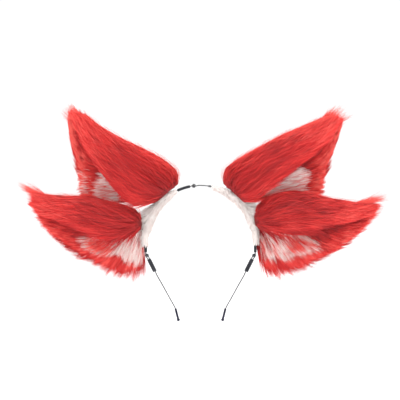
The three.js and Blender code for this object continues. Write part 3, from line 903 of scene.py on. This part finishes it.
def sleeve_profile(length, radius, bore=BORE, soft=0.35):
    """A tube with rounded mouths, out along its skin and back along its bore."""
    corner = [(radius - soft * (1 - math.sin(a)), soft * (1 - math.cos(a)))
              for a in np.linspace(0, math.pi / 2, 5)]
    skin = [(radius, h) for h in np.linspace(soft, length - soft, 9)]
    far = [(r, length - h) for r, h in reversed(corner)]
    return [(bore, 0)] + corner + skin + far + [(bore, length), (bore, 0)]


def eye_points(pivot, across, up, count=12):
    """Points round an open eye, closing on the direction up."""
    turn = np.pi / 2 - EYE_TURN * (1 - np.arange(count + 1) / count)
    return pivot + EYE_R * (np.cos(turn)[:, None] * across + np.sin(turn)[:, None] * up)


def angle_at(x):
    return math.asin(x / HOOP_R)


def arc_line(side):
    """The middle of a half's wire, from its top eye to its eye at the leg."""
    lift = EYE_LIFT if side < 0 else -EYE_LIFT
    top = eye_points(TOP_PIVOT + [0, 0, lift], np.array([-side, 0, 0]), np.array([0, -side, 0]))
    start = angle_at(TOP_SLEEVE[0] - 0.4 if side < 0 else TOP_LINK_X)
    curve = hoop(side, np.linspace(start, np.pi / 2, 18))
    straight = [mirrored(side, HOOP_R, z) for z in (END_SLEEVE[0], ARC_LOW_Z)]
    low = mirrored(side, *LEG_PIVOT, EYE_LIFT)
    eye = eye_points(low, mirrored(side, 0, -1), mirrored(side, 1, 0))[::-1]
    return spline(np.concatenate([top, curve, straight, eye]), np.linspace(0, 1, 420))


def rivet(name, centre, axis):
    """Two domed heads on one shank, either side of the eyes."""
    half = EYE_LIFT + WIRE_R + GAP
    dome = [(RIVET_HEAD_R * math.sin(a),
             half + RIVET_EDGE + (RIVET_HEAD - RIVET_EDGE) * math.cos(a))
            for a in np.linspace(0, math.pi / 2, 7)]
    top = dome + [(RIVET_HEAD_R, half), (RIVET_SHANK_R, half)]
    profile = top + [(r, -h) for r, h in reversed(top)]
    long = 2 * (half + RIVET_HEAD)
    line = [centre - axis * long / 2, centre + axis * long / 2]
    shifted = [(r, long / 2 - h) for r, h in profile]
    fitting(name, "steel", line, shifted, 28)


def leg(side, word):
    """One leg with its wire, sleeve, tip and hinge rivet, and the sleeve above the hinge."""
    pivot = mirrored(side, *LEG_PIVOT)
    down = mirrored(side, -math.sin(LEG_LEAN), -math.cos(LEG_LEAN))
    across = mirrored(side, math.cos(LEG_LEAN), -math.sin(LEG_LEAN))
    start, stop = LEG_SLEEVE

    def at(run, off=0.0, y=0.0):
        return pivot + down * run + across * off + np.array([0, y, 0])

    tail = WIRE_R + GAP / 2 + 0.05  # the doubled wire's two runs lie this far off the middle
    past = 0.35  # radians that the eye goes on past each side
    turns = -past + (np.pi + 2 * past) * np.arange(9) / 8
    eye = [at(-EYE_R * math.sin(a), EYE_R * math.cos(a), -EYE_LIFT) for a in turns]
    knee, end = mirrored(side, *LEG_KNEE), mirrored(side, *LEG_END)
    shin = [at(stop) + (knee - at(stop)) * k for k in (0.06, 0.35, 0.7, 0.97)]
    foot = [knee + (end - knee) * k for k in (0.1, 0.4, 0.72)]
    near = start - 0.4
    points = [at(start + 9, tail), at(start + 4, tail, -0.2),
              at(near, tail + 0.1, -EYE_LIFT * 0.8), *eye,
              at(near, -tail - 0.1, -EYE_LIFT * 0.8), at(start + 4, -tail, -0.2),
              at(stop - 3, -tail), *shin, *foot]
    line = spline(points, np.linspace(0, 1, 330))
    fitting(word + "_leg_wire", "steel", line, round_rod(line, WIRE_R), 14)

    profile = sleeve_profile(stop - start, LEG_SLEEVE_R, LEG_SLEEVE_BORE, 0.5)
    fitting(word + "_leg_sleeve", "sleeve_rubber", [at(start), at(stop)], profile, 28)

    long, ball, neck = norm(end - knee), TIP_BALL_R, TIP_NECK_R
    cap = [(ball * math.cos(a), long + ball * math.sin(a))
           for a in np.linspace(-0.87, math.pi / 2, 12)]
    profile = ([(0, long - TIP_BACK), (BORE, long - TIP_BACK), (BORE, 0),
                (neck - 0.25, 0), (neck, 0.3)]
               + [(neck, h) for h in np.linspace(1, long - ball * 0.95, 8)] + cap)
    fitting(word + "_leg_tip", "tip_rubber", [knee, end], profile, 24)

    rivet(word + "_hinge_rivet", pivot, np.array([0, 1, 0]))
    ends = [mirrored(side, HOOP_R, z) for z in END_SLEEVE]
    profile = sleeve_profile(END_SLEEVE[0] - END_SLEEVE[1], END_SLEEVE_R)
    fitting(word + "_end_sleeve", "sleeve_rubber", ends, profile, 24)


def on_band(side, angle_from, run):
    """Places, directions down the band and directions out of it, at distances along it."""
    angle = np.minimum(angle_from + run / HOOP_R, np.pi / 2)
    below = np.maximum(run - (np.pi / 2 - angle_from) * HOOP_R, 0)
    centre = hoop(side, angle) - np.array([0, 0, 1]) * below[:, None]
    zero = 0 * angle
    down = np.stack([side * np.cos(angle), zero, -np.sin(angle)], -1)
    out = np.stack([side * np.sin(angle), zero, np.cos(angle)], -1)
    return centre, down, out


BAND_FLARE = 0.5
CORE_SHARE, ROOT_SHARE = 0.66, 0.6  # of PLUSH_R, the core's skin and the strands' roots
STATIONS = (0, 0.2, 0.5, 0.8, 1)  # down the band, where thick gives the strands' length


def band_plush(side, word, from_x, grow, count, length, thick):
    """The white wrap: a soft core on the wire and its pile, combed down the band. grow is how
    fast it thickens from its start at from_x."""
    start = angle_at(from_x)
    total = (np.pi / 2 - start) * HOOP_R + HOOP_Z - (END_SLEEVE[0] + 1)
    node = word + "_band_plush"
    run = np.linspace(0, total, 90)
    t = run / total
    swell = np.minimum(1, np.minimum(0.45 + grow * t, 0.45 + 9 * (1 - t)))
    line = on_band(side, start, run)[0]
    core_r = CORE_SHARE * PLUSH_R * swell
    profile = list(zip(core_r, run)) + [(BORE, h) for h in run[::-1]]
    profile.append(profile[0])
    core = turned(word + "_band_core", line, profile, looks["plush"], 20)
    stand_in(core, node)

    run = rng.uniform(0, total, count)
    t = run / total
    centre, down, out = on_band(side, start, run)
    round_it = rng.uniform(0, 2 * np.pi, count)
    y = np.array([0, 1, 0])
    away = np.cos(round_it)[:, None] * out + np.sin(round_it)[:, None] * y
    swell = np.minimum(1, 0.35 + grow * t)
    roots = centre + away * (ROOT_SHARE * PLUSH_R * swell)[:, None]
    # longer between the two ears, and flat inside at the bottom, where a folded leg lies
    between = np.exp(-(((t - 0.52) / 0.13) ** 2)) * smoothstep(0.2, 0.8, np.cos(round_it))
    folded_leg = smoothstep(0.65, 0.85, t) * smoothstep(-0.3, 0.4, -np.cos(round_it))
    flares = BAND_FLARE * (1 - 0.8 * folded_leg) + 1.6 * between
    go = unit(down + flares[:, None] * away + rng.normal(0, 0.12, (count, 3)))
    own = rng.uniform(*length, count) * np.interp(t, STATIONS, thick) + 11 * between
    locks = ((30, 0.2, 0.03), (count // 14, 0.45, 0.07))
    go, tint = locked(roots, roots, go * own[:, None], locks, LOCK_CLOSE)
    along = np.linspace(0, 1, STRAND_STEPS)[None, :, None]
    puff = away * (1.2 - 0.8 * folded_leg)[:, None]
    paths = roots[:, None] + go[:, None] * along + puff[:, None] * np.sin(along * 2)
    paths[..., 2] -= 1.5 * along[..., 0] ** 2
    # Paler on the side that faces out of the band's circle and up: painted light.
    tone = 0.5 + tint + rng.normal(0, 0.08, count) + 0.15 * np.cos(round_it)
    pile = strands(word + "_band_pile", paths, away, 0.34, tone, looks["white"], spread=0.4)
    stand_in(pile, node)


def pad(name, side, angles):
    """The felt pad between an ear and the band: a bent strip with softened edges."""
    low, high = PLUSH_R + GAP, PLUSH_R + GAP + PAD_THICK
    half, soft = PAD_HALF, PAD_SOFT
    outline = [(low, -half + soft), (low, half - soft), (low + soft, half),
               (high - soft, half), (high, half - soft), (high, -half + soft),
               (high - soft, -half), (low + soft, -half)]
    angle = np.radians(np.linspace(*angles, 24))
    middle, last = (low + high) / 2, len(angle) - 1
    rings = []
    for k, a in enumerate(angle):
        tight = PAD_END if k in (0, last) else 1.0
        rings.append([hoop(side, a, middle + (r - middle) * tight) + [0, y * tight, 0]
                      for r, y in outline])
    around = len(outline)
    ends = np.array([np.arange(around)[::-1], np.arange(around) + last * around])
    made = weld(mesh(name + "_pad_felt", np.array(rings).reshape(-1, 3),
                     [ring_faces(len(angle), around), ends], looks["felt"]))
    stand_in(made, name + "_pad")


def stitch(name, side, angle, sides=10):
    """A loop of two-ply thread round the band and the pad."""
    turn = np.linspace(0, 2 * np.pi, 160, endpoint=False)
    down = mirrored(side, math.cos(angle), -math.sin(angle))
    out = mirrored(side, math.sin(angle), math.cos(angle))
    centre = hoop(side, angle, STITCH_OUT)
    loop = (centre + STITCH_R * np.sin(turn)[:, None] * np.array([0, 1, 0])
            + STITCH_R * STITCH_STRETCH * np.cos(turn)[:, None] * out)
    spoke = unit(loop - centre)
    twist = THREAD_TWISTS * turn[:, None]
    round_it = np.linspace(0, 2 * np.pi, sides, endpoint=False)[None, :] + twist
    swell = THREAD_R + THREAD_PLY * np.cos(2 * (round_it - twist))
    points = (loop[:, None] + swell[..., None] * (np.cos(round_it)[..., None] * spoke[:, None]
              + np.sin(round_it)[..., None] * down))
    faces = ring_faces(len(turn) + 1, sides) % (len(turn) * sides)  # the last ring is the first
    made = mesh(name + "_thread", points.reshape(-1, 3), faces, looks["thread"])
    stand_in(weld(made), name)


def fittings():
    for side, word in ((-1, "left"), (1, "right")):
        line = arc_line(side)
        fitting(word + "_arc_wire", "steel", line, round_rod(line, WIRE_R), 14)
        leg(side, word)
    rivet("top_hinge_rivet", TOP_PIVOT, np.array([0, 0, 1]))

    line = hoop(-1, np.linspace(*map(angle_at, TOP_SLEEVE), 24))
    profile = sleeve_profile(length_of(line), TOP_SLEEVE_R)
    fitting("left_top_sleeve", "sleeve_rubber", line, profile, 24)

    line = hoop(1, np.linspace(*map(angle_at, FERRULE), 12))
    long, mouth = length_of(line), FERRULE_MOUTH_R
    waist = [(FERRULE_R - FERRULE_WAIST * math.exp(-(((h / long - 0.5) / 0.16) ** 2)), h)
             for h in np.linspace(0.15, long - 0.15, 15)]
    profile = [(BORE, 0), (mouth, 0)] + waist + [(mouth, long), (BORE, long), (BORE, 0)]
    fitting("top_ferrule", "steel", line, profile, 24)

    for name, ear in EARS.items():
        low, high = ear["pad"]
        pad(name, ear["side"], (low, high))
        for letter, share in (("a", 0.25), ("b", 0.7)):
            angle = math.radians(low + (high - low) * share)
            stitch(f"{name}_stitch_{letter}", ear["side"], angle)

    band_plush(-1, "left", from_x=TOP_SLEEVE[1] + 0.8, grow=5, count=13000, length=(6, 11),
               thick=(0.3, 0.5, 0.7, 0.85, 0.6))
    band_plush(1, "right", from_x=FERRULE[1] + 0.8, grow=3.4, count=11000, length=(4, 7),
               thick=(0.4, 0.8, 1, 1, 0.8))


# ---- making it all ----

camera()
studio()
floor()

looks = {
    "red": pile_material("red_pile", RED_TONES, ROOT_SHADE_TO_TIP),
    "tuft": pile_material("tuft_pile", TUFT_TONES, PALE_ROOT_SHADE),
    "white": pile_material("white_pile", WHITE_TONES, PALE_ROOT_SHADE),
    # The hide and the lining's skin are dark as painted shade, for the depth of the pile and for
    # the fold inside the ear.
    "hide": hide_material("red_hide", (0.22, 0.006, 0.01), (0.5, 0.02, 0.025)),
    "deep": hide_material("red_lining_painted_shade", (0.12, 0.004, 0.006), (0.3, 0.01, 0.014)),
    "steel": steel_material(),
    "rubber": rubber_material("black_rubber", (0.012, 0.013, 0.018), (0.035, 0.036, 0.045), 0.5),
    "tip": rubber_material("tip_rubber", (0.008, 0.008, 0.022), (0.02, 0.02, 0.045), 0.35),
    "plush": cloth_material("white_backing", (0.75, 0.68, 0.64), (0.95, 0.91, 0.88), 700),
    "felt": cloth_material("red_felt", (0.16, 0.008, 0.012), (0.34, 0.02, 0.025), 900),
    "thread": cloth_material("white_thread", (0.62, 0.55, 0.52), (0.9, 0.86, 0.83), 1800),
}
for name, ear in EARS.items():
    make_ear(name, ear)
fittings()

# CAD nodes that no piece stands for show in the same materials.
slot_of = {p["node"]: p["material_slot"] for p in frame["record"]["subparts"]}
for name, node in frame["nodes"].items():
    key = SLOT_LOOKS.get(slot_of[name])
    if key:
        node.data.materials.clear()
        node.data.materials.append(looks[key])
